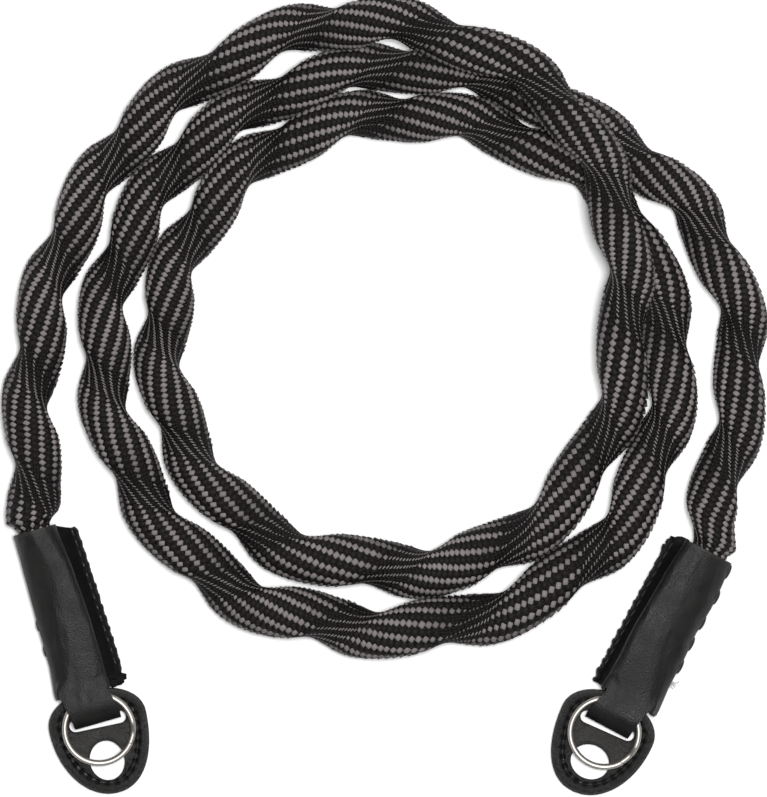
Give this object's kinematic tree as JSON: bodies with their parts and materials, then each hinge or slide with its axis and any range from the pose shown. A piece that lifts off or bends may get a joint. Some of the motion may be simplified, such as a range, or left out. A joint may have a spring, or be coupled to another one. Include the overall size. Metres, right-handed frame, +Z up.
{
  "type": "coiled camera strap",
  "caption": "Coiled strap of thick wavy braided cord, with a sewn leather sleeve, a guard pad and a split ring at each end.",
  "frame": {"origin": "middle of the box round the two leather ends with their pads and rings, on the surface that the strap lies on", "axes": "+X from the left end to the right end, +Y towards the coil of cord, +Z up from the surface"},
  "size_m": [0.1548, 0.1625, 0.0217],
  "materials": {
    "black_grey_braid": "woven, matt",
    "black_leather": "smooth, slightly glossy",
    "bright_steel": "polished, slightly worn"
  },
  "bodies": {
    "root": {"braided_cord": "black_grey_braid", "left_sleeve": "black_leather", "right_sleeve": "black_leather", "left_guard_pad": "black_leather", "right_guard_pad": "black_leather", "left_split_ring": "bright_steel", "right_split_ring": "bright_steel"}
  },
  "joints": []
}
